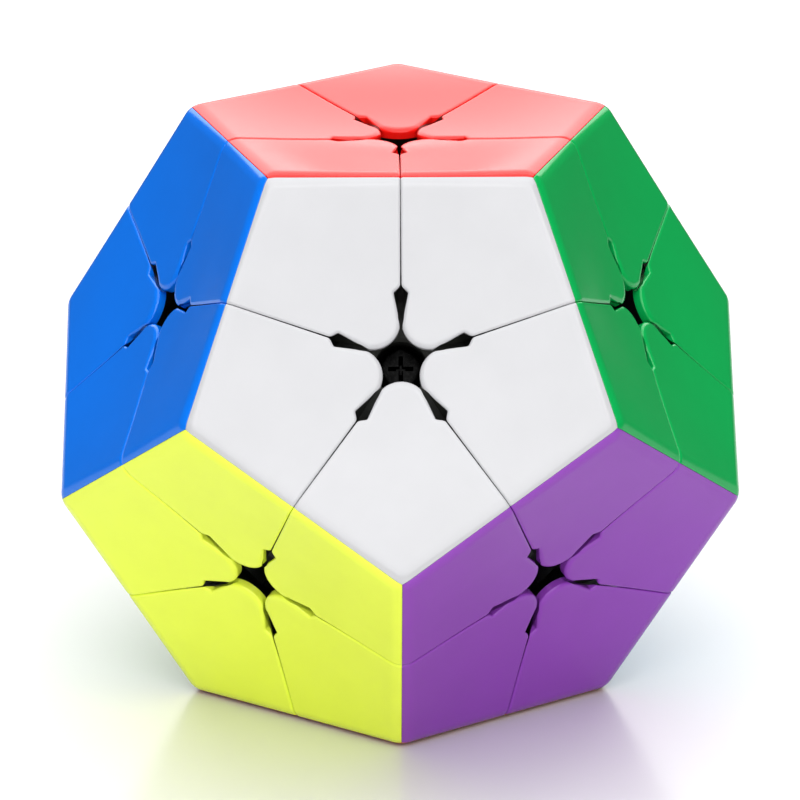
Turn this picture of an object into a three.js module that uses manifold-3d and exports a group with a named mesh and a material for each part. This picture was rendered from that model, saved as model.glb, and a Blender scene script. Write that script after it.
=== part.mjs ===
// A twelve-sided twisty puzzle with twenty corner pieces, and the mechanism inside that holds them.
// Units are mm and +Z is up. The origin is the puzzle's centre, and it stands on its bottom face.
// Each face's layer is cut free by a surface of revolution about that face's axis, so it can turn
// about that axis without meeting another piece.
import * as THREE from 'three';
import { mergeVertices } from 'three/addons/utils/BufferGeometryUtils.js';
import Module from 'manifold-3d';

const wasm = await Module();
wasm.setup();

// Driving sizes
const EDGE = 30; // one edge of the dodecahedron
const CLEARANCE = 0.3; // between two pieces that slide past each other
const DISH_DEPTH = 1.7; // how far each face sinks at its middle
const DISH_REACH = 19.4; // from a face's middle towards the middle of an edge, where its rim is
const EDGE_CHAMFER = 0.35; // how far the dodecahedron's edges are cut back
const BODY_SEGMENTS = 30; // facets around a layer's outer cut; a multiple of 5, so its petals match
const INNER_SEGMENTS = 20; // facets around the cuts of the mechanism, a multiple of 5 too
const ROUND_SEGMENTS = 12; // facets around the small round parts

// The dodecahedron that these sizes give
const GOLDEN = (1 + Math.sqrt(5)) / 2;
const HALF_DIHEDRAL = Math.atan(GOLDEN); // 58.28 degrees, also from a face's axis to its nearest seams' ends
const MID_RADIUS = (EDGE * GOLDEN ** 2) / 2; // to the middle of an edge
const FACE_HEIGHT = MID_RADIUS * Math.sin(HALF_DIHEDRAL); // to the middle of a face
const APOTHEM = MID_RADIUS * Math.cos(HALF_DIHEDRAL); // from a face's middle to the middle of its edge
const FACE_TILT = Math.atan(2); // between the axes of neighbouring faces, 63.43 degrees
const FIFTH = (2 * Math.PI) / 5;

// The mechanism, by distance from the puzzle's centre. At each depth a layer's room is a cone about its
// face's axis. A corner's foot lies in a wider cone than its stalk, under the flanges of the caps and
// the wings of the edges, so a corner can't be pulled out.
const CORE_RADIUS = 13.2;
const FOOT = { from: 14, to: 20, cone: THREE.MathUtils.degToRad(52) };
const STALK = { to: 26, cone: THREE.MathUtils.degToRad(46) };
const CORNER_LEVELS = { foot: 18.3, body: 26.3 }; // flat top of a corner's foot, flat underside of its body
const EDGE_LEVELS = { foot: 18.5, wing: 20.3, top: 24.3 }; // top of the foot, underside and top of the wings

// The skirt is the part of a layer just under the faces beside it. It follows the seams, then drops
// straight down, and the voids that this leaves are the pockets beside each face's star hole.
const SKIRT_LEVEL = 15.4; // lowest height of the skirt along the layer's axis
const SEAM_START = 0.46; // where a seam leaves its pocket: 0 at the face's middle, 1 at its edge
const SEAM_STEPS = 2;
const DISH_STEPS = 2;
const STAR_FILLET = 3.3; // rounds each petal's tip, which makes the star hole at a face's middle
const STAR_STEPS = 3;
const BEYOND = 50; // further out than any part of the puzzle

// Screws, the pockets in the caps that their springs press on, and the core's posts
const SCREW = { shaft: 1.25, head: 2.6, under: 23, top: 24.8, tip: 6.5 };
const RECESS = { arm: 1.5, width: 0.55, depth: 1.1 }; // of the screw's cross
const CAP_POCKET = { radius: 3, floor: 19 };
const POST = { radius: 2.4, top: 14.9 };

function faceAxis(tilt, turns) {
  const azimuth = turns * FIFTH;
  return new THREE.Vector3(
    Math.sin(tilt) * Math.sin(azimuth),
    -Math.sin(tilt) * Math.cos(azimuth),
    Math.cos(tilt)
  );
}

// Each face by its colour. Turns count fifths of a turn from the front, anticlockwise seen from above.
const FACES = {
  red: faceAxis(0, 0),
  white: faceAxis(FACE_TILT, 0),
  green: faceAxis(FACE_TILT, 1),
  cream: faceAxis(FACE_TILT, 2),
  pink: faceAxis(FACE_TILT, 3),
  blue: faceAxis(FACE_TILT, 4),
  purple: faceAxis(Math.PI - FACE_TILT, 0.5),
  sky: faceAxis(Math.PI - FACE_TILT, 1.5),
  grey: faceAxis(Math.PI - FACE_TILT, 2.5),
  lime: faceAxis(Math.PI - FACE_TILT, 3.5),
  yellow: faceAxis(Math.PI - FACE_TILT, 4.5),
  orange: faceAxis(Math.PI, 0)
};
const faceNames = Object.keys(FACES);

function adjacent(first, second) {
  return Math.abs(FACES[first].angleTo(FACES[second]) - FACE_TILT) < 1e-6;
}

// The placement whose Z axis is one face's axis, with X leaning towards a neighbouring face.
function frameOf(face, neighbour) {
  const z = FACES[face];
  const x = FACES[neighbour].clone().addScaledVector(z, -z.dot(FACES[neighbour])).normalize();
  const y = new THREE.Vector3().crossVectors(z, x);
  return new THREE.Matrix4().makeBasis(x, y, z);
}

function anyFrameOf(face) {
  return frameOf(face, faceNames.find((other) => adjacent(face, other)));
}

// Solids and meshes

function solidOf(geometry) {
  geometry.deleteAttribute('normal');
  geometry.deleteAttribute('uv');
  const merged = mergeVertices(geometry, 1e-5);
  return new wasm.Manifold(
    new wasm.Mesh({
      numProp: 3,
      vertProperties: merged.attributes.position.array,
      triVerts: new Uint32Array(merged.index.array)
    })
  );
}

function geometryOf(solid) {
  const mesh = solid.getMesh();
  const geometry = new THREE.BufferGeometry();
  geometry.setAttribute('position', new THREE.BufferAttribute(mesh.vertProperties, mesh.numProp));
  geometry.setIndex(new THREE.BufferAttribute(mesh.triVerts, 1));
  return geometry;
}

function placed(solid, matrix) {
  return solid.transform(matrix.elements);
}

// A profile of [radius, height] points, turned about Z with a facet's corner in the XZ plane.
function turned(profile, segments) {
  const points = profile.map(([radius, height]) => new THREE.Vector2(radius, height));
  const geometry = new THREE.LatheGeometry(points, segments, Math.PI / 2);
  return solidOf(geometry.rotateX(Math.PI / 2));
}

function ball(radius, segments) {
  return solidOf(new THREE.SphereGeometry(radius, segments, segments / 2));
}

// The profile moved sideways by a distance, outwards if above 0. Its ends slide along the axis, as if
// the profile went on into its own mirror image there.
function offset(profile, distance) {
  const mirrored = (point) => new THREE.Vector2(-point.x, point.y);
  const points = profile.map(([radius, height]) => new THREE.Vector2(radius, height));
  return points.map((here, i) => {
    const previous = points[i - 1] ?? mirrored(points[i + 1]);
    const next = points[i + 1] ?? mirrored(points[i - 1]);
    const before = here.clone().sub(previous).normalize();
    const after = next.clone().sub(here).normalize();
    const side = new THREE.Vector2(before.y + after.y, -before.x - after.x).normalize();
    const reach = distance / (side.x * before.y - side.y * before.x);
    return [here.x + side.x * reach, here.y + side.y * reach];
  });
}

// Where a seam crosses a dished face beside the layer, as [radius, height] about the layer's axis.
function seamPoint(along) {
  const beside = faceAxis(FACE_TILT, 0);
  const next = faceAxis(FACE_TILT, 1);
  const end = beside.clone().add(next).setLength(MID_RADIUS);
  const start = beside.clone().multiplyScalar(FACE_HEIGHT);
  const sunk = DISH_DEPTH * Math.max(0, 1 - ((along * APOTHEM) / DISH_REACH) ** 2);
  const point = start.lerp(end, along).addScaledVector(beside, -sunk);
  return [Math.hypot(point.x, point.y), point.z];
}

// A layer's room by depth, as solids of revolution: slightly smaller for the pieces in the layer, and
// slightly larger for the pieces that the layer must clear.
function coneProfile(angle) {
  const height = BEYOND / Math.tan(angle);
  return [[0, 0], [BEYOND, height], [BEYOND, BEYOND], [0, BEYOND]];
}

function bodyProfile() {
  const slope = 1 / Math.tan(HALF_DIHEDRAL);
  const seam = Array.from({ length: SEAM_STEPS + 1 }, (_, i) =>
    seamPoint(SEAM_START + ((1 - SEAM_START) * i) / SEAM_STEPS)
  );
  const skirtRadius = seam[0][0];
  return [
    [0, 0],
    [SKIRT_LEVEL / slope, SKIRT_LEVEL],
    [skirtRadius, SKIRT_LEVEL],
    ...seam,
    [BEYOND, BEYOND * slope],
    [BEYOND, BEYOND],
    [0, BEYOND]
  ];
}

function room(profile, segments) {
  const within = turned(offset(profile, -CLEARANCE / 2), segments);
  const around = turned(offset(profile, CLEARANCE / 2), segments);
  const forFace = {};
  for (const face of faceNames) {
    const frame = anyFrameOf(face);
    forFace[face] = { within: placed(within, frame), around: placed(around, frame) };
  }
  return forFace;
}

const footRoom = room(coneProfile(FOOT.cone), INNER_SEGMENTS);
const stalkRoom = room(coneProfile(STALK.cone), INNER_SEGMENTS);
const bodyRoom = room(bodyProfile(), BODY_SEGMENTS);

// The outer shape, made for one corner's three faces and edges at a time.

// A slab of material whose top is square to a direction, at a height along it.
function halfSpace(direction, height) {
  const box = new THREE.BoxGeometry(4 * BEYOND, 4 * BEYOND, 2 * BEYOND);
  box.translate(0, 0, height - BEYOND);
  const turn = new THREE.Quaternion().setFromUnitVectors(new THREE.Vector3(0, 0, 1), direction);
  return solidOf(box.applyQuaternion(turn));
}

// The sunken part of a face: a pentagon with its sides along the face's own, deepest in the middle.
function dish() {
  const corner = Math.cos(FIFTH / 2);
  const bowl = Array.from({ length: DISH_STEPS + 1 }, (_, i) => {
    const part = i / DISH_STEPS;
    return [(DISH_REACH * part) / corner, FACE_HEIGHT - DISH_DEPTH * (1 - part ** 2)];
  });
  const rim = bowl[DISH_STEPS][0];
  const cut = turned([...bowl, [rim, BEYOND], [0, BEYOND]], 5);
  return cut.rotate([0, 0, 36]);
}

// The star hole: five arcs, each around a petal's rounded tip, meeting in points on the seams.
function starHole() {
  const reach = STAR_FILLET / Math.sin(FIFTH / 2); // from the face's middle to an arc's centre
  const sweep = Math.PI / 2 - FIFTH / 2; // half of what each arc turns through
  const outline = new THREE.Shape();
  for (let petal = 0; petal < 5; petal++) {
    const towards = (petal + 0.5) * FIFTH;
    for (let step = 0; step < STAR_STEPS; step++) {
      const angle = towards + Math.PI + sweep * (1 - (2 * step) / STAR_STEPS);
      const x = reach * Math.cos(towards) + STAR_FILLET * Math.cos(angle);
      const y = reach * Math.sin(towards) + STAR_FILLET * Math.sin(angle);
      if (petal + step === 0) outline.moveTo(x, y);
      else outline.lineTo(x, y);
    }
  }
  const hole = new THREE.ExtrudeGeometry(outline, { depth: BEYOND, bevelEnabled: false });
  return solidOf(hole.translate(0, 0, STALK.to + CLEARANCE));
}

function within(rooms, faces) {
  return wasm.Manifold.intersection(faces.map((face) => rooms[face].within));
}

function slab(direction, from, to) {
  return halfSpace(direction, to).subtract(halfSpace(direction, from));
}

function middleOf(faces) {
  return faces.reduce((sum, face) => sum.add(FACES[face]), new THREE.Vector3()).normalize();
}

function cornerSolid(own) {
  const middle = middleOf(own);
  const crowding = faceNames.filter(
    (face) => !own.includes(face) && own.filter((other) => adjacent(face, other)).length === 2
  );
  const edgePlanes = own.map((face, i) =>
    halfSpace(middleOf([face, own[(i + 1) % 3]]), MID_RADIUS - EDGE_CHAMFER)
  );
  const body = wasm.Manifold.intersection([
    within(bodyRoom, own),
    slab(middle, CORNER_LEVELS.body, BEYOND),
    ...own.map((face) => halfSpace(FACES[face], FACE_HEIGHT)),
    ...edgePlanes
  ]);
  const shaped = wasm.Manifold.difference([
    body,
    ...crowding.map((face) => bodyRoom[face].around),
    ...own.map((face) => placed(dish(), anyFrameOf(face))),
    ...own.map((face) => placed(starHole(), anyFrameOf(face)))
  ]);
  const stalk = within(stalkRoom, own).intersect(slab(middle, FOOT.from, CORNER_LEVELS.body + 1));
  const foot = within(footRoom, own).intersect(slab(middle, FOOT.from, CORNER_LEVELS.foot));
  return wasm.Manifold.union([shaped, stalk, foot]);
}

// The hidden piece under the middle of an edge. Its foot lies under two caps, and its wings lie over
// the feet of the corners at its ends.
function edgeSolid(own) {
  const middle = middleOf(own);
  const ends = faceNames.filter((face) => own.every((other) => adjacent(face, other)));
  const past = (rooms) => ends.map((face) => rooms[face].around);
  const foot = within(footRoom, own).intersect(slab(middle, FOOT.from, EDGE_LEVELS.foot));
  const neck = within(stalkRoom, own).intersect(slab(middle, FOOT.from, EDGE_LEVELS.top));
  const wings = within(stalkRoom, own).intersect(slab(middle, EDGE_LEVELS.wing, EDGE_LEVELS.top));
  return wasm.Manifold.union([
    wasm.Manifold.difference([foot, ...past(footRoom)]),
    wasm.Manifold.difference([neck, ...past(footRoom)]),
    wasm.Manifold.difference([wings, ...past(stalkRoom)])
  ]);
}

// The cap at a layer's middle: a flange over the corners' feet, with a pocket for the screw's spring.
function capProfile() {
  const wide = FACE_TILT - STALK.cone;
  const narrow = FACE_TILT - FOOT.cone;
  const gap = CLEARANCE / 2;
  const bottom = POST.top + CLEARANCE;
  const flangeFrom = FOOT.to + gap;
  const flangeTo = STALK.to - gap;
  const inward = (distance, angle) => [
    distance * Math.sin(angle) - gap / Math.cos(angle),
    distance * Math.cos(angle)
  ];
  return [
    [SCREW.shaft + CLEARANCE, bottom],
    inward(bottom, narrow),
    inward(flangeFrom, narrow),
    inward(flangeFrom, wide),
    inward(flangeTo, wide),
    [CAP_POCKET.radius, Math.sqrt(flangeTo ** 2 - CAP_POCKET.radius ** 2)],
    [CAP_POCKET.radius, CAP_POCKET.floor],
    [SCREW.shaft + CLEARANCE, CAP_POCKET.floor],
    [SCREW.shaft + CLEARANCE, bottom]
  ];
}

function screwSolid() {
  const profile = [
    [0, SCREW.tip],
    [SCREW.shaft, SCREW.tip + SCREW.shaft],
    [SCREW.shaft, SCREW.under],
    [SCREW.head, SCREW.under],
    [SCREW.head, SCREW.top - 0.6],
    [SCREW.head - 0.6, SCREW.top],
    [0, SCREW.top]
  ];
  const arm = new THREE.BoxGeometry(2 * RECESS.arm, RECESS.width, 2 * RECESS.depth);
  const cross = [0, Math.PI / 2].map((turn) =>
    solidOf(arm.clone().rotateZ(turn).translate(0, 0, SCREW.top))
  );
  return wasm.Manifold.difference([turned(profile, ROUND_SEGMENTS), ...cross]);
}

// The core: a ball with a post under each cap, each bored for its screw.
function coreSolid() {
  const post = turned([[0, 0], [POST.radius, 0], [POST.radius, POST.top], [0, POST.top]], ROUND_SEGMENTS);
  const from = SCREW.tip - CLEARANCE;
  const radius = SCREW.shaft + CLEARANCE;
  const bore = turned([[0, from], [radius, from], [radius, BEYOND], [0, BEYOND]], ROUND_SEGMENTS);
  const posts = faceNames.map((face) => placed(post, anyFrameOf(face)));
  const bores = faceNames.map((face) => placed(bore, anyFrameOf(face)));
  const body = wasm.Manifold.union([ball(CORE_RADIUS, ROUND_SEGMENTS), ...posts]);
  return wasm.Manifold.difference([body, ...bores]);
}

// The assembly

const puzzle = new THREE.Group();

function add(name, solid, colour) {
  const material = new THREE.MeshStandardMaterial({ color: colour, roughness: 0.4 });
  const mesh = new THREE.Mesh(geometryOf(solid), material);
  mesh.name = name;
  puzzle.add(mesh);
}

// The same solid carried from the place where it was made to the same place beside two other faces.
function moved(solid, from, to) {
  return placed(solid, frameOf(...to).multiply(frameOf(...from).invert()));
}

add('core', coreSolid(), 0x33353a);

const cap = turned(capProfile(), ROUND_SEGMENTS);
const screw = screwSolid();
for (const face of faceNames) {
  add(`cap_${face}`, placed(cap, anyFrameOf(face)), 0x1c1d1f);
  add(`screw_${face}`, placed(screw, anyFrameOf(face)), 0xb8bcc2);
}

// Three faces meet at each corner. They are listed anticlockwise seen from outside.
const corners = [];
for (const [i, first] of faceNames.entries()) {
  for (const second of faceNames.slice(i + 1)) {
    for (const third of faceNames.slice(i + 1)) {
      if (!adjacent(first, second) || !adjacent(second, third) || !adjacent(third, first)) continue;
      const side = new THREE.Vector3().crossVectors(FACES[first], FACES[second]);
      if (side.dot(FACES[third]) > 0) corners.push([first, second, third]);
    }
  }
}
const corner = cornerSolid(corners[0]);
for (const own of corners) {
  add(`corner_${own.join('_')}`, moved(corner, corners[0].slice(0, 2), own.slice(0, 2)), 0x1b1c1e);
}

// Hidden edges: those that turn with the top and bottom layers, and those upright in the upper ring.
const edge = edgeSolid(['red', 'white']);
const upperRing = ['white', 'green', 'cream', 'pink', 'blue'];
const edges = [
  ...upperRing.map((face) => ['red', face]),
  ...faceNames.filter((face) => adjacent('orange', face)).map((face) => ['orange', face]),
  ...upperRing.map((face, i) => [face, upperRing[(i + 1) % upperRing.length]])
];
for (const own of edges) {
  add(`edge_${own.join('_')}`, moved(edge, ['red', 'white'], own), 0x26272a);
}

export default puzzle;
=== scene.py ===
"""The finished look of a dodecahedral twisty puzzle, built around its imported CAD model.

Every corner is a black body that carries three coloured shells, as in a moulded puzzle. One shell, one
body and one of each hidden part are built at high resolution and then copied to every place.
The puzzle's sizes are in millimetres up to the moment a mesh is made. The floor, the lights, the
camera and the bumps of the materials are in metres, which are Blender's units.
"""
import math

import bpy
from mathutils import Matrix, Vector


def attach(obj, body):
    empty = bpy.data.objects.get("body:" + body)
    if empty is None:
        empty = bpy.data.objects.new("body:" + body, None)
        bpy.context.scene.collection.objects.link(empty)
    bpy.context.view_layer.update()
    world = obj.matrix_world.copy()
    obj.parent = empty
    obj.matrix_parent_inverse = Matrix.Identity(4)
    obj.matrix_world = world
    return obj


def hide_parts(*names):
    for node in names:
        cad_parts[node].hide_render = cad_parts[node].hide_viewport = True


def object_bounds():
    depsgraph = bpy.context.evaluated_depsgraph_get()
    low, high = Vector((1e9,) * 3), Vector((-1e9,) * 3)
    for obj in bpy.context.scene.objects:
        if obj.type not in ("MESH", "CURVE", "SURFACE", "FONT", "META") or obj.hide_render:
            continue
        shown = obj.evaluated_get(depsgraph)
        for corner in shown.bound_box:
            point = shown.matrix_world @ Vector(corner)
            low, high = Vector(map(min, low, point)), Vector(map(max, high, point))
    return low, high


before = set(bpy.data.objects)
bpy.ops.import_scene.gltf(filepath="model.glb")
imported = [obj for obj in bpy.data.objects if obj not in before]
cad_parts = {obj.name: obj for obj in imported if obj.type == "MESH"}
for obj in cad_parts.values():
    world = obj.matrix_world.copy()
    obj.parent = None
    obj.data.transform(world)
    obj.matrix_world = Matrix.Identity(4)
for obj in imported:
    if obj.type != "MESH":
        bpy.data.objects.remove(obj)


def plain(box):
    return [[float(value) for value in corner] for corner in box]


cad_bounds = plain(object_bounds())
MM = 0.001

# ---------------------------------------------------------------- sizes, the same as the CAD's
EDGE = 30.0  # one edge of the dodecahedron
CLEARANCE = 0.3  # between two pieces that slide past each other
GOLDEN = (1 + math.sqrt(5)) / 2
HALF_DIHEDRAL = math.atan(GOLDEN)
MID_RADIUS = EDGE * GOLDEN**2 / 2  # to the middle of an edge
FACE_HEIGHT = MID_RADIUS * math.sin(HALF_DIHEDRAL)  # to the middle of a face
APOTHEM = MID_RADIUS * math.cos(HALF_DIHEDRAL)  # from a face's middle to the middle of its edge
FACE_TILT = math.atan(2)  # between the axes of neighbouring faces
FIFTH = 2 * math.pi / 5
MITRE = 1 / math.tan(HALF_DIHEDRAL)  # inward run of the plane between two faces, per mm of depth

# The mechanism, by distance from the puzzle's middle. At each depth a layer's room is a cone about
# its face's axis, and a corner's foot lies in a wider cone than its stalk.
CORE_RADIUS = 13.2
FOOT_CONE = math.radians(52)
STALK_CONE = math.radians(46)
FOOT_FROM = 14.0
FOOT_TO = 20.0
STALK_TO = 26.0
FOOT_TOP = 18.3  # flat top of a corner's foot
BODY_FROM = 26.3  # flat underside of a corner's body
EDGE_FOOT_TOP = 18.5
EDGE_WING_FROM = 20.3
EDGE_TOP = 24.3
SCREW_SHAFT = 1.25  # radius
SCREW_HEAD = 2.6  # radius
SCREW_UNDER = 23.0  # underside of the head
SCREW_TOP = 24.8
SCREW_TIP = 6.5
RECESS_ARM = 1.5  # half length of the cross's arms
RECESS_WIDTH = 0.55
RECESS_DEPTH = 1.1
CAP_POCKET = 3.0  # radius
CAP_FLOOR = 19.0  # floor of that pocket
POST_RADIUS = 2.4
POST_TOP = 14.9
BEYOND = 50.0  # further out than any part of the puzzle

# ---------------------------------------------------------------- sizes of the finish
DISH_DEPTH = 1.7  # at a face's middle
EDGE_ROUND = 2.8  # radius along the dodecahedron's edges
CREST_ROUND = 0.12  # small radius where two colours meet
SEAM_ROUND = 0.4  # radius along the seams
STAR_ROUND = 0.75  # radius round the star hole
ROUND_SHARE = 0.6  # how much of those roundings drops away before the walls begin
SEAM_GAP = 0.03  # between the shells of neighbouring petals
STAR_TIP = 2.3  # from the face's middle to each petal's tip
STAR_NECK = 4.15  # from the face's middle to where neighbouring petals come together
LEAF_END = 8.8  # from the face's middle to the outer end of the leaf-shaped pocket on each seam
LEAF_WIDEST = 7.4  # from the face's middle to where the pocket is widest
LEAF_HALF_WIDTH = 0.8  # half the pocket's width there
LEAF_SHOULDER = 0.9  # half width the pocket's outer end would have without its soft corners
LEAF_BULGE = 1.5  # above 1, the pocket keeps its narrow outer end longer
LEAF_CORNER = 0.12  # softness of the pocket's two corners
NECK_EXTRA = 0.06  # how much wider than the seam a pocket is at the star hole
OUTER_CORNER = 0.5  # radius of a petal's corners on the dodecahedron's edges
CORNER_SHARE = 0.6  # how much of that rounding the petal's side follows
SEAM_START = 0.2  # share of the way to the edge where a layer starts to follow the seam
SEAM_STEPS = 12  # straight pieces of a layer's profile along the seam
SKIRT_LEVEL = 14.6  # height of the underside of a layer's rim, above the puzzle's middle
SKIRT_BEVEL = 0.6  # on the rim's lower corner
LEAF_FLOOR = 2.05  # depth of the black floor of each pocket below the plane of the face
CREST_GAP = 0.02  # between each shell and the plane where two faces meet
BODY_GAP = 0.05  # glue line between a shell and its black body
STAR_STEPS = 16  # segments of each arc of the star hole
SHELL_FLOOR = 2.85  # depth of the shells' undersides below the plane of the face
WALL_SHARES = (0.03, 0.3, 1.0)  # rings of a shell's wall, as shares of the way down from its rim
SCREW_CROWN = 0.7  # rounding of the screw's head
SCREW_PITCH = 0.7
SCREW_THREAD_TO = 15.5
SCREW_BEVEL = 0.1  # under the head, and on the root of each thread
RECESS_OPEN = 0.1  # how far the mesh that cuts the recess reaches above the head
THREAD_ROOT = 0.8  # share of the shaft's radius
SHANK = 0.85  # share of the shaft's radius
RECESS_TAPER = 0.35  # the recess's size at its floor, against its size at the top
POST_BEVEL = 0.4
CAP_LIP = 0.3
SPRING_RADIUS = 2.3
SPRING_WIRE = 0.45  # diameter
SPRING_TURNS = 4  # open turns, between one closed turn at each end
SPRING_GAP = 0.03  # between the spring and what it presses on
SPRING_STEPS = 40  # pieces of each turn
SPRING_SIDES = 12  # sides of the wire
ROOM_SEGMENTS = 120  # round a layer's room
ROUND_SEGMENTS = 96  # round the caps and the core
SMALL_SEGMENTS = 64  # round the screws, the posts and their bores

FACE_COLOURS = {
    "red": (0.80, 0.012, 0.008),
    "white": (0.542, 0.542, 0.558),
    "green": (0.003, 0.41, 0.097),
    "cream": (0.60, 0.50, 0.25),
    "pink": (0.63, 0.14, 0.27),
    "blue": (0.003, 0.195, 0.79),
    "purple": (0.290, 0.062, 0.465),
    "sky": (0.084, 0.36, 0.60),
    "grey": (0.15, 0.16, 0.175),
    "lime": (0.20, 0.50, 0.07),
    "yellow": (0.85, 0.97, 0.088),
    "orange": (0.60, 0.12, 0.007),
}


def face_axis(tilt, turns):
    """The axis of a face, tilted from the top by an angle and turned from the front."""
    azimuth = turns * FIFTH
    return Vector(
        (
            math.sin(tilt) * math.sin(azimuth),
            -math.sin(tilt) * math.cos(azimuth),
            math.cos(tilt),
        )
    )


# Turns count fifths of a turn from the front, anticlockwise seen from above.
FACES = {
    "red": face_axis(0, 0),
    "white": face_axis(FACE_TILT, 0),
    "green": face_axis(FACE_TILT, 1),
    "cream": face_axis(FACE_TILT, 2),
    "pink": face_axis(FACE_TILT, 3),
    "blue": face_axis(FACE_TILT, 4),
    "purple": face_axis(math.pi - FACE_TILT, 0.5),
    "sky": face_axis(math.pi - FACE_TILT, 1.5),
    "grey": face_axis(math.pi - FACE_TILT, 2.5),
    "lime": face_axis(math.pi - FACE_TILT, 3.5),
    "yellow": face_axis(math.pi - FACE_TILT, 4.5),
    "orange": face_axis(math.pi, 0),
}


def adjacent(first, second):
    return abs(FACES[first].angle(FACES[second]) - FACE_TILT) < 1e-4


def frame_of(axis, towards):
    """The placement whose Z is axis, with X leaning towards another direction."""
    z = axis.normalized()
    x = (towards - z * z.dot(towards)).normalized()
    y = z.cross(x)
    return Matrix((x, y, z)).transposed().to_4x4()


def any_frame_of(face):
    """A placement along a face's axis, with X towards one of its neighbours."""
    neighbour = next(other for other in FACES if adjacent(face, other))
    return frame_of(FACES[face], FACES[neighbour])


def middle_of(faces):
    """The direction of the vertex or edge where these faces meet."""
    return sum((FACES[face] for face in faces), Vector()).normalized()


# ---------------------------------------------------------------- meshes


def mesh_from(name, vertices, faces):
    """A mesh in metres from points in millimetres."""
    mesh = bpy.data.meshes.new(name)
    mesh.from_pydata([[value * MM for value in point] for point in vertices], [], faces)
    mesh.update()
    return mesh


def smooth(mesh, degrees=32):
    """Shades a mesh smooth, but for edges sharper than an angle."""
    mesh.shade_smooth()
    mesh.set_sharp_from_angle(angle=math.radians(degrees))


def place(name, mesh):
    """A new object in the scene."""
    piece = bpy.data.objects.new(name, mesh)
    bpy.context.scene.collection.objects.link(piece)
    return piece


def turned(profile, segments):
    """A profile of (radius, height) points turned about Z. It starts and ends on the axis or closes."""
    vertices = []
    rings = []
    for radius, height in profile:
        if radius < 1e-9:
            rings.append([len(vertices)] * segments)
            vertices.append((0, 0, height))
            continue
        rings.append(list(range(len(vertices), len(vertices) + segments)))
        for i in range(segments):
            angle = 2 * math.pi * i / segments
            vertices.append((radius * math.cos(angle), radius * math.sin(angle), height))
    closed = profile[0][0] > 1e-9
    pairs = list(zip(rings, rings[1:]))
    if closed:
        pairs.append((rings[-1], rings[0]))
    faces = []
    for low, high in pairs:
        for i in range(segments):
            j = (i + 1) % segments
            corners = [low[i], low[j], high[j], high[i]]
            corners = [c for k, c in enumerate(corners) if c != corners[k - 1]]
            if len(corners) > 2:
                faces.append(corners)
    return mesh_from("turned", vertices, faces)


# The faces of a six-sided block, from its four lower corners and the four above them.
BLOCK_FACES = [(3, 2, 1, 0), (4, 5, 6, 7), (0, 1, 5, 4), (1, 2, 6, 5), (2, 3, 7, 6), (3, 0, 4, 7)]


def box_below(direction, height):
    """A large block whose top is square to a direction, at a height along it."""
    matrix = direction.to_track_quat("Z", "Y").to_matrix().to_4x4()
    size = 2 * BEYOND
    vertices = [
        matrix @ Vector((x * size, y * size, height if z else height - 2 * size))
        for z in (0, 1)
        for x, y in ((-1, -1), (1, -1), (1, 1), (-1, 1))
    ]
    return mesh_from("block", vertices, BLOCK_FACES)


def moved(mesh, matrix):
    """A copy of a mesh, moved by a matrix."""
    copy = mesh.copy()
    copy.transform(matrix)
    return copy


def combined(start, *steps):
    """A mesh after a chain of (operation, mesh) steps: INTERSECT, DIFFERENCE or UNION."""
    base = place("combining", start)
    others = []
    for operation, mesh in steps:
        other = place("operand", mesh)
        other.hide_render = True
        others.append(other)
        modifier = base.modifiers.new("cut", "BOOLEAN")
        modifier.operation = operation
        modifier.solver = "MANIFOLD"
        modifier.object = other
    bpy.context.view_layer.update()
    evaluated = base.evaluated_get(bpy.context.evaluated_depsgraph_get())
    result = bpy.data.meshes.new_from_object(evaluated)
    for used in [base, *others]:
        bpy.data.objects.remove(used)
    return result


# ---------------------------------------------------------------- a layer's room


def offset(profile, distance):
    """The profile moved sideways, outwards if above 0. Its ends slide along the axis."""
    points = [Vector(point) for point in profile]
    first = Vector((-points[1].x, points[1].y))
    last = Vector((-points[-2].x, points[-2].y))
    moved_points = []
    for before, here, after in zip([first, *points], points, [*points[1:], last]):
        into = (here - before).normalized()
        out = (after - here).normalized()
        side = Vector((into.y + out.y, -into.x - out.x)).normalized()
        reach = distance / (side.x * into.y - side.y * into.x)
        moved_points.append(tuple(here + side * reach))
    return moved_points


def dish(x, y):
    """How deep a face is sunk at a point (x, y) from its middle, with a vertex along X."""
    parts = []
    for turn in (FIFTH / 2, -FIFTH / 2):
        gap = APOTHEM - x * math.cos(turn) - y * math.sin(turn)
        parts.append(math.sin(math.pi / 2 * min(max(gap / APOTHEM, 0), 1)))
    return DISH_DEPTH * parts[0] * parts[1]


def seam_point(along):
    """Where a seam crosses the face beside a layer, as (radius, height) about the layer's axis."""
    beside = face_axis(FACE_TILT, 0)
    following = face_axis(FACE_TILT, 1)
    end = (beside + following).normalized() * MID_RADIUS
    reach = along * APOTHEM
    sunk = dish(reach * math.cos(FIFTH / 2), reach * math.sin(FIFTH / 2))
    point = (beside * FACE_HEIGHT).lerp(end, along) - beside * sunk
    return math.hypot(point.x, point.y), point.z


def body_profile():
    """A layer's outline as (radius, height): a rim whose underside is flat, then along the seam."""
    shares = [SEAM_START + (1 - SEAM_START) * i / SEAM_STEPS for i in range(SEAM_STEPS + 1)]
    seam = [seam_point(share) for share in shares]
    rim = seam[0][0]
    return [
        (0, 0),
        (SKIRT_LEVEL / MITRE, SKIRT_LEVEL),
        (rim - SKIRT_BEVEL, SKIRT_LEVEL),
        (rim, SKIRT_LEVEL + SKIRT_BEVEL),
        *seam,
        (BEYOND, BEYOND * MITRE),
        (BEYOND, BEYOND),
        (0, BEYOND),
    ]


def cone_profile(angle):
    """The outline of a layer's room inside the puzzle, an angle wide on each side of the axis."""
    return [(0, 0), (BEYOND, BEYOND / math.tan(angle)), (BEYOND, BEYOND), (0, BEYOND)]


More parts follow.
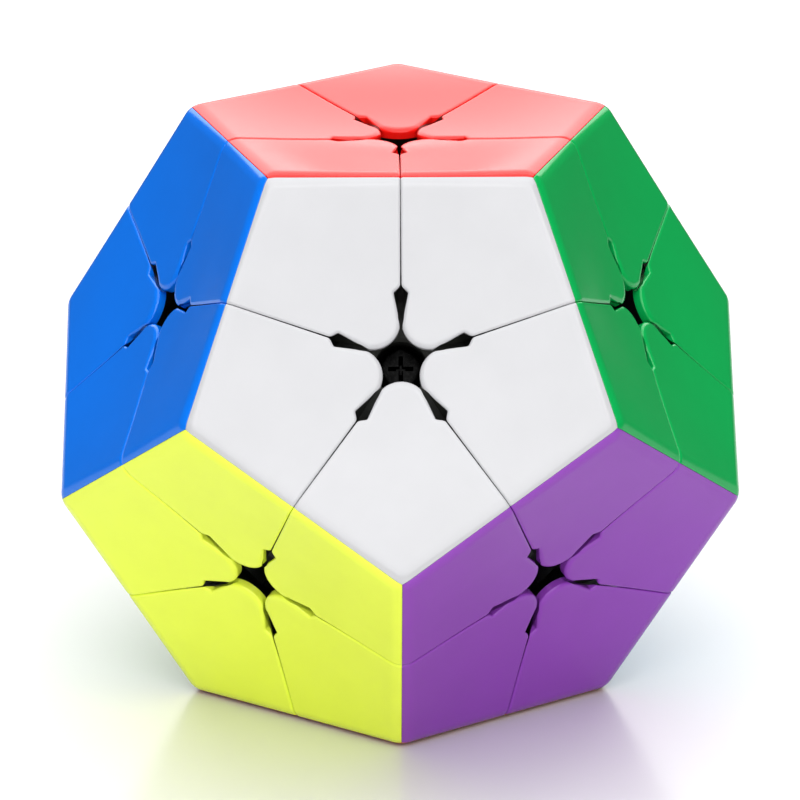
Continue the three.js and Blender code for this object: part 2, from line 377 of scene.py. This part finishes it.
def room(profile, gap, face):
    """What a profile sweeps as it turns about a face's axis, made larger all round by gap."""
    return moved(turned(offset(profile, gap), ROOM_SEGMENTS), any_frame_of(face))


def inside(profile, face):
    """The room for the pieces that turn with a face."""
    return room(profile, -CLEARANCE / 2, face)


def outside(profile, face):
    """What the other pieces have to keep clear of."""
    return room(profile, CLEARANCE / 2, face)


# ---------------------------------------------------------------- a coloured shell
# A shell is made beside its face's axis: Z is the axis and X points to the shell's own vertex. The
# height of its top comes from one formula, so the dish, the rounded edges and the seams run together.

HALF = FIFTH / 2
SEAM_WAY = Vector((math.cos(HALF), math.sin(HALF)))  # from the face's middle along the upper seam
SEAM_SIDE = Vector((math.sin(HALF), -math.cos(HALF)))  # from the upper seam into the petal


def ease(value):
    """From 0 to 1 with a gentle start and end."""
    value = min(max(value, 0), 1)
    return value * value * (3 - 2 * value)


def roll(distance, radius):
    """How far a surface has dropped, distance mm into a rounding of that radius."""
    distance = min(max(distance, 0), radius)
    return radius - math.sqrt(radius**2 - distance**2)


def seam_offset(reach):
    """Distance from the seam's middle line to the petal's side, reach mm from the face's middle."""
    half = SEAM_GAP / 2
    if reach > LEAF_END:
        into = max(0.0, reach - (APOTHEM - OUTER_CORNER))
        return half + CORNER_SHARE * roll(into, OUTER_CORNER)
    inwards = (LEAF_WIDEST - reach) / (LEAF_WIDEST - STAR_NECK)
    flank = LEAF_HALF_WIDTH + (half + NECK_EXTRA - LEAF_HALF_WIDTH) * inwards
    share = (LEAF_END - reach) / (LEAF_END - LEAF_WIDEST)
    shoulder = half + (LEAF_SHOULDER - half) * ease(share**LEAF_BULGE)
    # The smaller of the two, with a soft corner where they cross.
    return max(half, (flank + shoulder - math.hypot(flank - shoulder, LEAF_CORNER)) / 2)


NECK = SEAM_WAY * STAR_NECK + SEAM_SIDE * seam_offset(STAR_NECK)
TIP_CENTRE = (NECK.length_squared - STAR_TIP**2) / (2 * (NECK.x - STAR_TIP))
TIP_RADIUS = TIP_CENTRE - STAR_TIP
TIP_SWEEP = math.atan2(NECK.y, TIP_CENTRE - NECK.x)  # half of what the tip's arc turns through
SEAM_LENGTH = APOTHEM - STAR_NECK
TIP_LENGTH = TIP_RADIUS * TIP_SWEEP


def side_point(run):
    """A point of the petal's upper side, run mm from the dodecahedron's edge towards its tip."""
    if run < SEAM_LENGTH:
        reach = APOTHEM - run
        return SEAM_WAY * reach + SEAM_SIDE * seam_offset(reach)
    angle = math.pi - TIP_SWEEP + (run - SEAM_LENGTH) / TIP_RADIUS
    return Vector((TIP_CENTRE + TIP_RADIUS * math.cos(angle), TIP_RADIUS * math.sin(angle)))


SIDE_LENGTH = SEAM_LENGTH + TIP_LENGTH
SIDE_PIECES = 400
SIDE = [side_point(SIDE_LENGTH * i / SIDE_PIECES) for i in range(SIDE_PIECES + 1)]


def seam_distance(x, y):
    """Distance from a point to the petal's nearer side."""
    here = Vector((x, abs(y)))
    nearest = min(range(len(SIDE)), key=lambda i: (SIDE[i] - here).length_squared)
    around = SIDE[max(nearest - 1, 0) : nearest + 2]
    gaps = []
    for start, end in zip(around, around[1:]):
        way = end - start
        share = min(max((here - start).dot(way) / way.length_squared, 0), 1)
        gaps.append((here - start - way * share).length)
    return min(gaps)


def beside_vertex(gap):
    """The point that is gap mm inside both of the face's sharp edges at the shell's vertex."""
    return Vector(((APOTHEM - gap) / math.cos(HALF), 0))


def beside_edge(gap, along):
    """The point gap mm inside the upper sharp edge, along mm from that edge's middle."""
    return SEAM_WAY * (APOTHEM - gap) + SEAM_SIDE * along


ROUND_RUN = EDGE_ROUND * MITRE  # from a sharp edge to where its rounding begins
ROUND_CORNER = beside_vertex(ROUND_RUN)  # where the roundings of both edges begin


def depth(x, y):
    """How far the shell's top lies below the plane of its face."""
    gap = APOTHEM - x * math.cos(HALF) - abs(y) * math.sin(HALF)  # to the nearer sharp edge
    from_corner = Vector((x, abs(y))) - ROUND_CORNER
    into = ROUND_RUN - gap
    if into > 0 and from_corner.dot(SEAM_SIDE) > 0:
        into = from_corner.length
    sunk = dish(x, y) + roll(into, EDGE_ROUND)
    crest = (gap - MITRE * sunk) * math.sin(HALF_DIHEDRAL)
    sunk += roll(CREST_ROUND - crest, CREST_ROUND)
    inwards = ease((LEAF_WIDEST - math.hypot(x, y)) / (LEAF_WIDEST - STAR_NECK))
    radius = SEAM_ROUND + (STAR_ROUND - SEAM_ROUND) * inwards
    return sunk + ROUND_SHARE * roll(radius - seam_distance(x, y), radius)


def crest_point(path):
    """Where the shell's rim lies on a path given by its gap from the sharp edge, and that gap.

    The rim lies against the plane between two faces, so a deeper rim is further from the edge. The
    gap is found by going half of the way to its right value, many times.
    """
    gap = 0.0
    for _ in range(40):
        point = path(gap)
        gap += 0.5 * (MITRE * depth(*point) + CREST_GAP - gap)
    return point, gap


# How far apart the lines of the shell's grid are, as (up to this distance from the edge, spacing).
SPACINGS = [
    (0.14, 0.035),  # the crest between two colours
    (1.8, 0.18),  # the rounded edge
    (3.0, 0.4),
    (10.0, 1.0),  # the plain part of the face
    (11.6, 0.4),
    (13.4, 0.1),  # the pocket's outer end
    (16.0, 0.4),
    (16.8, 0.15),  # the pocket's end at the star hole
    (SIDE_LENGTH - 0.9, 0.3),  # the petal's tip
    (SIDE_LENGTH - 0.3, 0.1),
    (SIDE_LENGTH, 0.05),
]


def stations():
    """Shares of the way along a side, close together over the roundings and round the pocket."""
    runs = [0.0]
    for until, step in SPACINGS:
        count = max(1, round((until - runs[-1]) / step))
        start = runs[-1]
        runs += [start + (until - start) * (i + 1) / count for i in range(count)]
    return [run / SIDE_LENGTH for run in runs]


LEAN_RUN = APOTHEM - LEAF_END - 1  # how far from the edge a wall stops leaning, short of the pocket


def mirrored(point):
    """The same point of the petal's lower side."""
    return Vector((point.x, -point.y))


def spaced(start, finish, shares):
    """Numbers at these shares of the way from start to finish."""
    return [start + (finish - start) * share for share in shares]


def shell_floor(shares, finish, end_gap):
    """The outline of the shell's underside, point for point below its rim."""
    floor_gap = MITRE * SHELL_FLOOR + CREST_GAP
    start = beside_vertex(floor_gap).dot(SEAM_SIDE)
    edge = [beside_edge(floor_gap, along) for along in spaced(start, finish, shares[:-1])]
    side = []
    for run in spaced(end_gap, SIDE_LENGTH, shares):
        lean = max(0, 1 - run / LEAN_RUN)  # the wall leans only where it clears the next colour
        side.append(side_point(run + (floor_gap - end_gap) * lean))
    back = [mirrored(point) for point in reversed(side[:-1])]
    back += [mirrored(point) for point in edge[:0:-1]]
    return edge + side + back


def shell_mesh():
    """A whole shell: a curved grid on top, leaning walls and a flat underside."""
    shares = stations()
    last = len(shares) - 1
    vertex = crest_point(beside_vertex)[0]
    end_gap = crest_point(lambda gap: beside_edge(gap, seam_offset(APOTHEM)))[1]
    start = vertex.dot(SEAM_SIDE)
    finish = seam_offset(APOTHEM - end_gap)
    crest = []
    for along in spaced(start, finish, shares):
        crest.append(crest_point(lambda gap, along=along: beside_edge(gap, along))[0])
    side = [side_point(run) for run in spaced(end_gap, SIDE_LENGTH, shares)]
    crest[0] = vertex
    crest[-1] = side[0]

    # The grid is spanned between the four rims: the upper edge and side, and their mirror images.
    grid = {}
    vertices = []
    for i, u in enumerate(shares):
        for j, v in enumerate(shares):
            point = crest[i] * (1 - v) + mirrored(side[i]) * v
            point += mirrored(crest[j]) * (1 - u)
            point += side[j] * u
            point -= vertex * (1 - u) * (1 - v) + side[0] * u * (1 - v)
            point -= mirrored(side[0]) * (1 - u) * v + side[-1] * u * v
            grid[i, j] = len(vertices)
            vertices.append((point.x, point.y, FACE_HEIGHT - depth(*point)))
    faces = [
        (grid[i, j], grid[i + 1, j], grid[i + 1, j + 1], grid[i, j + 1])
        for i in range(last)
        for j in range(last)
    ]

    # The rim in order: along the upper edge, down the upper side to the tip, and back the same way.
    rim = [grid[i, 0] for i in range(last)] + [grid[last, j] for j in range(last)]
    rim += [grid[i, last] for i in range(last, 0, -1)] + [grid[0, j] for j in range(last, 0, -1)]
    below = shell_floor(shares, finish, end_gap)
    previous = rim
    for share in WALL_SHARES:
        ring = []
        for top, bottom in zip(rim, below):
            high = Vector(vertices[top])
            low = Vector((bottom.x, bottom.y, FACE_HEIGHT - SHELL_FLOOR))
            ring.append(len(vertices))
            vertices.append(tuple(high.lerp(low, share)))
        for k in range(len(rim)):
            n = (k + 1) % len(rim)
            faces.append((previous[n], previous[k], ring[k], ring[n]))
        previous = ring
    faces.append(tuple(reversed(previous)))
    return mesh_from("shell", vertices, faces)


def cut_shell():
    """The shell, cleared of the two neighbouring layers that turn past it."""
    own_axis = Vector((0, 0, 1))
    tilted_axis = Vector((math.sin(FACE_TILT), 0, math.cos(FACE_TILT)))
    layer = turned(offset(body_profile(), SEAM_GAP / 2), ROOM_SEGMENTS)
    cuts = []
    for turn in (1.5, -1.5):
        axis = Matrix.Rotation(turn * FIFTH, 3, "Z") @ tilted_axis
        cuts.append(("DIFFERENCE", moved(layer, frame_of(axis, own_axis))))
    return combined(shell_mesh(), *cuts)


# ---------------------------------------------------------------- the black bodies


def upright(outline, low, high):
    """A prism whose outline runs anticlockwise seen from above."""
    count = len(outline)
    vertices = [(x, y, z) for z in (low, high) for x, y in outline]
    faces = [tuple(reversed(range(count))), tuple(range(count, 2 * count))]
    for i in range(count):
        j = (i + 1) % count
        faces.append((i, j, count + j, count + i))
    return mesh_from("prism", vertices, faces)


def star_prism():
    """The star hole in the black body: five arcs, each round a petal's tip, meeting on the seams."""
    outline = []
    for petal in range(5):
        towards = (petal + 0.5) * FIFTH
        for step in range(STAR_STEPS):
            angle = towards + math.pi + TIP_SWEEP * (1 - 2 * step / STAR_STEPS)
            x = TIP_CENTRE * math.cos(towards) + TIP_RADIUS * math.cos(angle)
            y = TIP_CENTRE * math.sin(towards) + TIP_RADIUS * math.sin(angle)
            outline.append((x, y))
    return upright(outline, STALK_TO + CLEARANCE, BEYOND)


def leaf_prism():
    """The floor of the pocket on a seam that runs along X, standing on the shells' undersides."""
    steps = 24
    reaches = [STAR_NECK + (LEAF_END - STAR_NECK) * i / steps for i in range(steps + 1)]
    outline = [(reach, seam_offset(reach)) for reach in reaches]
    outline += [(x, -y) for x, y in reversed(outline)]
    return upright(outline, FACE_HEIGHT - SHELL_FLOOR - 2 * BODY_GAP, FACE_HEIGHT - LEAF_FLOOR)


def crowding(own):
    """The layers that don't hold a corner and lie against it."""
    others = [face for face in FACES if face not in own]
    return [face for face in others if sum(adjacent(face, mine) for mine in own) == 2]


def common(meshes):
    """What all of the meshes share."""
    return combined(meshes[0], *[("INTERSECT", mesh) for mesh in meshes[1:]])


def slab(direction, low, high):
    """The space between two heights along a direction."""
    return combined(box_below(direction, high), ("DIFFERENCE", box_below(direction, low)))


def corner_body(own):
    """A corner's black body with its stalk and foot, given the three faces it holds together."""
    middle = middle_of(own)
    bodies = [inside(body_profile(), face) for face in own]
    leaf = leaf_prism()
    tops = []
    for face in own:
        top = box_below(FACES[face], FACE_HEIGHT - SHELL_FLOOR - BODY_GAP)
        for other in own:
            if other != face:
                seam = moved(leaf, frame_of(FACES[face], FACES[other]))
                top = combined(top, ("UNION", seam))
        tops.append(top)
    stars = [moved(star_prism(), any_frame_of(face)) for face in own]
    block = common(bodies + tops + [slab(middle, BODY_FROM, BEYOND)])
    cuts = [outside(body_profile(), face) for face in crowding(own)] + stars
    block = combined(block, *[("DIFFERENCE", mesh) for mesh in cuts])
    stalk = common(
        [inside(cone_profile(STALK_CONE), face) for face in own]
        + [slab(middle, FOOT_FROM, BODY_FROM + 1)]
    )
    foot = common(
        [inside(cone_profile(FOOT_CONE), face) for face in own] + [slab(middle, FOOT_FROM, FOOT_TOP)]
    )
    return combined(block, ("UNION", stalk), ("UNION", foot))


# ---------------------------------------------------------------- the hidden mechanism


def edge_piece(own):
    """The piece under an edge. Its foot lies under two caps, its wings over the corners' feet."""
    middle = middle_of(own)
    ends = [face for face in FACES if all(adjacent(face, mine) for mine in own)]

    def part(cone, low, high, cleared):
        between = [inside(cone_profile(cone), face) for face in own]
        block = common(between + [slab(middle, low, high)])
        cuts = [("DIFFERENCE", outside(cone_profile(cleared), face)) for face in ends]
        return combined(block, *cuts)

    foot = part(FOOT_CONE, FOOT_FROM, EDGE_FOOT_TOP, FOOT_CONE)
    neck = part(STALK_CONE, FOOT_FROM, EDGE_TOP, FOOT_CONE)
    wings = part(STALK_CONE, EDGE_WING_FROM, EDGE_TOP, STALK_CONE)
    return combined(foot, ("UNION", neck), ("UNION", wings))


def cap_mesh():
    """The cap at a layer's middle: a flange over the corners' feet, with a pocket for the spring."""
    wide = FACE_TILT - STALK_CONE
    narrow = FACE_TILT - FOOT_CONE
    gap = CLEARANCE / 2
    bottom = POST_TOP + CLEARANCE
    bore = SCREW_SHAFT + CLEARANCE
    flange_from = FOOT_TO + gap
    flange_to = STALK_TO - gap

    def inward(distance, angle):
        return distance * math.sin(angle) - gap / math.cos(angle), distance * math.cos(angle)

    lip = CAP_POCKET + CAP_LIP
    dome = [inward(flange_to, wide)]
    reach = dome[0][0]
    top = math.sqrt(flange_to**2 - lip**2)
    dome_steps = 4
    for step in range(1, dome_steps + 1):
        radius = reach + (lip - reach) * step / dome_steps
        dome.append((radius, min(math.sqrt(flange_to**2 - radius**2), top)))
    profile = [
        (bore, bottom),
        inward(bottom, narrow),
        inward(flange_from, narrow),
        inward(flange_from, wide),
        *dome,
        (CAP_POCKET, top - CAP_LIP),
        (CAP_POCKET, CAP_FLOOR),
        (bore, CAP_FLOOR),
    ]
    return turned(profile, ROUND_SEGMENTS)


def screw_mesh():
    """A pan-head screw with its thread's ridges and a cross recess."""
    ridge = SCREW_TIP + SCREW_SHAFT
    profile = [(0, SCREW_TIP), (SCREW_SHAFT / 2, ridge)]
    while ridge < SCREW_THREAD_TO:
        profile.append((SCREW_SHAFT * THREAD_ROOT, ridge + SCREW_BEVEL))
        profile.append((SCREW_SHAFT, ridge + SCREW_PITCH / 2))
        ridge += SCREW_PITCH
    profile += [(SCREW_SHAFT * SHANK, ridge), (SCREW_SHAFT * SHANK, SCREW_UNDER)]
    profile.append((SCREW_HEAD - SCREW_BEVEL, SCREW_UNDER))
    profile.append((SCREW_HEAD, SCREW_UNDER + SCREW_BEVEL))
    shoulder = SCREW_TOP - SCREW_CROWN
    crown_steps = 6
    for step in range(crown_steps + 1):
        angle = math.pi / 2 * step / crown_steps
        spread = SCREW_HEAD - SCREW_CROWN * (1 - math.cos(angle))
        profile.append((spread, shoulder + SCREW_CROWN * math.sin(angle)))
    profile.append((0, SCREW_TOP))
    arms = []
    for turn in (0, math.pi / 2):
        arms.append(("DIFFERENCE", moved(cross_arm(), Matrix.Rotation(turn, 4, "Z"))))
    return combined(turned(profile, SMALL_SEGMENTS), *arms)


def cross_arm():
    """One arm of the screw's recess, narrowing towards its floor and open above the head."""
    vertices = []
    for height, share in ((SCREW_TOP - RECESS_DEPTH, RECESS_TAPER), (SCREW_TOP + RECESS_OPEN, 1.0)):
        x = RECESS_ARM * share
        y = RECESS_WIDTH * share / 2
        vertices += [(-x, -y, height), (x, -y, height), (x, y, height), (-x, y, height)]
    return mesh_from("arm", vertices, BLOCK_FACES)


def spring_mesh():
    """A compression spring from the cap's pocket up to the screw's head, its ends closed flat."""
    low = CAP_FLOOR + SPRING_WIRE + SPRING_GAP
    high = SCREW_UNDER - SPRING_WIRE - SPRING_GAP
    turns = SPRING_TURNS + 2
    steps = turns * SPRING_STEPS
    sides = SPRING_SIDES
    vertices = []
    for i in range(steps + 1):
        turn = turns * i / steps
        rise = min(max((turn - 1) / SPRING_TURNS, 0), 1)
        angle = 2 * math.pi * turn
        closing = min(turn, 1) - 1 + max(turn - turns + 1, 0)
        height = low + (high - low) * rise + SPRING_WIRE / 2 * closing
        for k in range(sides):
            around = 2 * math.pi * k / sides
            reach = SPRING_RADIUS + SPRING_WIRE / 2 * math.cos(around)
            up = height + SPRING_WIRE / 2 * math.sin(around)
            vertices.append((reach * math.cos(angle), reach * math.sin(angle), up))
    faces = [tuple(range(sides)), tuple(steps * sides + k for k in reversed(range(sides)))]
    for i in range(steps):
        for k in range(sides):
            n = (k + 1) % sides
            a = i * sides
            b = a + sides
            faces.append((a + k, b + k, b + n, a + n))
    return mesh_from("spring", vertices, faces)


def core_mesh():
    """The core: a ball with a post under each cap, each bored for its screw."""
    arc_steps = 48
    arc = [math.pi * (i / arc_steps - 0.5) for i in range(arc_steps + 1)]
    outline = [(CORE_RADIUS * math.cos(a), CORE_RADIUS * math.sin(a)) for a in arc]
    post = [
        (0, 0),
        (POST_RADIUS, 0),
        (POST_RADIUS, POST_TOP - POST_BEVEL),
        (POST_RADIUS - POST_BEVEL, POST_TOP),
        (0, POST_TOP),
    ]
    bore = SCREW_SHAFT + CLEARANCE
    start = SCREW_TIP - CLEARANCE
    hole = [(0, start), (bore, start), (bore, BEYOND), (0, BEYOND)]
    steps = []
    for operation, profile in (("UNION", post), ("DIFFERENCE", hole)):
        mesh = turned(profile, SMALL_SEGMENTS)
        steps += [(operation, moved(mesh, any_frame_of(face))) for face in FACES]
    return combined(turned(outline, ROUND_SEGMENTS), *steps)


# ---------------------------------------------------------------- materials


class Shader:
    """A Principled material with short calls for adding the nodes that vary it.

    Noise scales are per metre and bump heights are in metres. A noise's values lie mostly between
    NOISE_LOW and NOISE_HIGH, so these are what is spread over a range of colours or numbers.
    """

    NOISE_LOW = 0.3
    NOISE_HIGH = 0.7

    def __init__(self, name, **settings):
        self.material = bpy.data.materials.new(name)
        self.material.use_nodes = True
        self.tree = self.material.node_tree
        self.surface = self.tree.nodes["Principled BSDF"]
        for socket, value in settings.items():
            self.surface.inputs[socket.replace("_", " ")].default_value = value
        self.place = self.add("ShaderNodeTexCoord").outputs["Object"]

    def add(self, kind, inputs=None, **settings):
        node = self.tree.nodes.new(kind)
        for key, value in settings.items():
            setattr(node, key, value)
        for key, value in (inputs or {}).items():
            if isinstance(value, bpy.types.NodeSocket):
                self.tree.links.new(value, node.inputs[key])
            else:
                node.inputs[key].default_value = value
        return node

    def noise(self, per_metre, detail=3.0, roughness=0.5):
        inputs = {"Vector": self.place, "Scale": per_metre, "Detail": detail, "Roughness": roughness}
        return self.add("ShaderNodeTexNoise", inputs).outputs["Fac"]

    def ramp(self, value, low, high):
        """Maps a noise onto the colours between two."""
        node = self.add("ShaderNodeValToRGB", {"Fac": value})
        node.color_ramp.elements[0].position = self.NOISE_LOW
        node.color_ramp.elements[1].position = self.NOISE_HIGH
        node.color_ramp.elements[0].color = (*low, 1)
        node.color_ramp.elements[1].color = (*high, 1)
        return node.outputs["Color"]

    def span(self, value, low, high):
        """Maps a noise onto a range of numbers."""
        inputs = {"Value": value, "To Min": low, "To Max": high}
        inputs.update({"From Min": self.NOISE_LOW, "From Max": self.NOISE_HIGH})
        return self.add("ShaderNodeMapRange", inputs).outputs["Result"]

    def bump(self, height, distance, over=None):
        """Bumps the surface by a noise, over another bump if there is one."""
        inputs = {"Height": height, "Distance": distance, "Strength": 1.0}
        if over is not None:
            inputs["Normal"] = over
        return self.add("ShaderNodeBump", inputs).outputs["Normal"]

    def set(self, socket, value):
        self.tree.links.new(value, self.surface.inputs[socket])


def shade(colour, factor):
    """A colour made lighter or darker."""
    return [min(channel * factor, 1) for channel in colour]


def glossy_plastic(name, colour):
    """Polished ABS: a little unevenness in the pigment, and a skin that ripples very slightly."""
    shader = Shader(name, IOR=1.5)
    pigment = shader.noise(180, detail=4)
    shader.set("Base Color", shader.ramp(pigment, shade(colour, 0.985), shade(colour, 1.015)))
    shader.set("Roughness", shader.span(shader.noise(900, detail=5), 0.13, 0.17))
    flow = shader.bump(shader.noise(90, detail=1), 0.000015)
    shader.set("Normal", shader.bump(shader.noise(6000, detail=2), 0.0000015, over=flow))
    return shader.material


def satin_plastic(name, colour, rough=(0.32, 0.44), grain=0.000006):
    """Moulded plastic as a spark-eroded tool leaves it: even, slightly grainy and satin."""
    shader = Shader(name, IOR=1.5)
    shader.set("Base Color", shader.ramp(shader.noise(500), shade(colour, 0.8), shade(colour, 1.2)))
    shader.set("Roughness", shader.span(shader.noise(1500, detail=5), *rough))
    shader.set("Normal", shader.bump(shader.noise(9000, detail=3), grain))
    return shader.material


def dark_steel(name):
    """Blackened steel: mottled oxide that is worn a little brighter here and there."""
    shader = Shader(name, Metallic=1.0)
    oxide = shader.noise(2500, detail=6)
    shader.set("Base Color", shader.ramp(oxide, (0.005, 0.005, 0.005), (0.011, 0.011, 0.011)))
    shader.set("Roughness", shader.span(shader.noise(4000, detail=4), 0.24, 0.4))
    shader.set("Normal", shader.bump(shader.noise(12000, detail=3), 0.000004))
    return shader.material


def pale_floor(name):
    """A plain white photographic table with a slight sheen."""
    shader = Shader(name, IOR=1.3)
    white = shader.ramp(shader.noise(3, detail=2), (0.695, 0.695, 0.70), (0.715, 0.715, 0.715))
    shader.set("Base Color", white)
    shader.set("Roughness", shader.span(shader.noise(40, detail=3), 0.2, 0.24))
    return shader.material


# ---------------------------------------------------------------- assembling


def body_of(faces):
    """The CAD body that a part of these faces rides on."""
    if "red" in faces:
        return "top_layer"
    if "orange" in faces:
        return "bottom_layer"
    return "frame"


def add(name, mesh, material, matrix, body, slot, *nodes):
    """Places a copy of a mesh as a piece, and says what it rides on and which nodes it replaces."""
    piece = place(name, moved(mesh, matrix))
    piece.data.materials.clear()
    piece.data.materials.append(material)
    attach(piece, body)
    if nodes:
        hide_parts(*nodes)
    return piece


black = satin_plastic("black_abs", (0.042, 0.044, 0.038))
nylon = satin_plastic("black_nylon", (0.110, 0.113, 0.104), rough=(0.45, 0.6), grain=0.00001)
core_black = satin_plastic("core_abs", (0.02, 0.021, 0.023), rough=(0.4, 0.55))
steel = dark_steel("blackened_steel")

corners = {node: node.split("_")[1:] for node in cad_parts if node.startswith("corner_")}
shell = cut_shell()
smooth(shell, degrees=40)
plastics = {face: glossy_plastic("glossy_" + face, FACE_COLOURS[face]) for face in FACES}

first = sorted(corners)[0]
first_frame = frame_of(middle_of(corners[first]), FACES[corners[first][0]])
body = corner_body(corners[first])
body.transform(first_frame.inverted())
smooth(body)
for node, own in corners.items():
    middle = middle_of(own)
    rides = body_of(own)
    matrix = frame_of(middle, FACES[own[0]])
    name = node.replace("corner", "corner_body")
    add(name, body, black, matrix, rides, "corner_plastic", node)
    for face in own:
        name = "shell_" + face + "_of_" + "_".join(own)
        matrix = frame_of(FACES[face], middle)
        add(name, shell, plastics[face], matrix, rides, "corner_plastic", node)

edge_nodes = [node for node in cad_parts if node.startswith("edge_")]
pairs = [tuple(node.split("_")[1:]) for node in edge_nodes]
names = list(FACES)
for i, one in enumerate(names):
    for two in names[i + 1 :]:
        if adjacent(one, two) and (one, two) not in pairs and (two, one) not in pairs:
            pairs.append((one, two))
edge_frame = frame_of(middle_of(pairs[0]), FACES[pairs[0][0]])
edge = edge_piece(pairs[0])
edge.transform(edge_frame.inverted())
smooth(edge)
for own in pairs:
    name = "edge_" + "_".join(own)
    replaced = [name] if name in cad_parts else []
    matrix = frame_of(middle_of(own), FACES[own[0]])
    add("inner_" + name, edge, nylon, matrix, body_of(own), "edge_plastic", *replaced)

cap = cap_mesh()
screw = screw_mesh()
spring = spring_mesh()
for mesh in (cap, screw, spring):
    smooth(mesh)
for face in FACES:
    matrix = any_frame_of(face)
    rides = body_of([face])
    cap_rides = rides if rides != "frame" else "cap_" + face
    add("tension_cap_" + face, cap, nylon, matrix, cap_rides, "cap_plastic", "cap_" + face)
    add("pan_screw_" + face, screw, steel, matrix, "frame", "screw_steel", "screw_" + face)
    add("spring_" + face, spring, steel, matrix, "frame", "screw_steel")

core = core_mesh()
smooth(core)
add("spider_core", core, core_black, Matrix(), "frame", "core_plastic", "core")

# ---------------------------------------------------------------- floor, light and camera


def square(name, size, height):
    """A flat square, level and centred under the puzzle."""
    half = size / 2
    outline = [(-half, -half), (half, -half), (half, half), (-half, half)]
    mesh = bpy.data.meshes.new(name)
    mesh.from_pydata([(x, y, height) for x, y in outline], [], [(0, 1, 2, 3)])
    return place(name, mesh)


TABLE_SIZE = 0.74
floor = square("floor", TABLE_SIZE, cad_bounds[0][2])
floor.data.materials.append(pale_floor("white_table"))


def softbox(name, direction, distance, width, height, radiance):
    """A rectangular light that faces the puzzle. Its strength is the radiance of its surface."""
    light = bpy.data.lights.new(name, "AREA")
    light.shape = "RECTANGLE"
    light.size = width
    light.size_y = height
    light.energy = radiance * math.pi * width * height
    box = bpy.data.objects.new(name, light)
    bpy.context.scene.collection.objects.link(box)
    away = Vector(direction).normalized()
    level = Vector((away.y, -away.x, 0))  # the way the light's width runs
    if away.z > 0.9:
        level = Vector((1, 0, 0))
    box.matrix_world = Matrix.Translation(away * distance) @ frame_of(away, level)


softbox("overhead", (0, -0.1, 1), 1.1, 1.7, 1.7, 2.0)
softbox("front", (0, -1, 0.54), 1.7, 2.4, 1.5, 2.4)
softbox("high_back", (0, 1, 0.73), 1.5, 2.0, 1.34, 2.2)
softbox("low_back", (0, 1, 0.105), 1.6, 0.9, 0.4, 1.1)

# The backdrop is white to the camera, and the room around the table is dim to everything else.
BACKDROP_LIGHT = 1.1
ROOM_LIGHT = 0.1
VIEW_GAMMA = 0.9
world = bpy.data.worlds.new("white_studio")
world.use_nodes = True
ray = world.node_tree.nodes.new("ShaderNodeLightPath").outputs["Is Camera Ray"]
backdrop = world.node_tree.nodes.new("ShaderNodeMapRange")
backdrop.inputs["To Min"].default_value = ROOM_LIGHT
backdrop.inputs["To Max"].default_value = BACKDROP_LIGHT
surround = world.node_tree.nodes["Background"].inputs
surround["Color"].default_value = (1, 1, 1, 1)
world.node_tree.links.new(ray, backdrop.inputs["Value"])
world.node_tree.links.new(backdrop.outputs["Result"], surround["Strength"])
bpy.context.scene.world = world
bpy.context.scene.view_settings.view_transform = "Standard"
bpy.context.scene.view_settings.gamma = VIEW_GAMMA

CAMERA_LENS = 274.4
CAMERA_DISTANCE = 0.7064
CAMERA_ELEVATION = math.radians(19.11)
CAMERA_AZIMUTH = math.radians(-0.40)
CAMERA_ROLL = math.radians(-0.09)
CAMERA_TARGET = Vector((0.00006, 0, -0.00027))

camera = bpy.data.cameras.new("camera")
camera.sensor_width = 36
camera.lens = CAMERA_LENS
camera.clip_start = 0.01
viewer = bpy.data.objects.new("camera", camera)
bpy.context.scene.collection.objects.link(viewer)
towards_camera = Vector(
    (
        math.sin(CAMERA_AZIMUTH) * math.cos(CAMERA_ELEVATION),
        -math.cos(CAMERA_AZIMUTH) * math.cos(CAMERA_ELEVATION),
        math.sin(CAMERA_ELEVATION),
    )
)
aim = towards_camera.to_track_quat("Z", "Y").to_matrix().to_4x4()
spot = Matrix.Translation(CAMERA_TARGET + towards_camera * CAMERA_DISTANCE)
viewer.matrix_world = spot @ aim @ Matrix.Rotation(CAMERA_ROLL, 4, "Z")
bpy.context.scene.camera = viewer

bpy.context.view_layer.update()
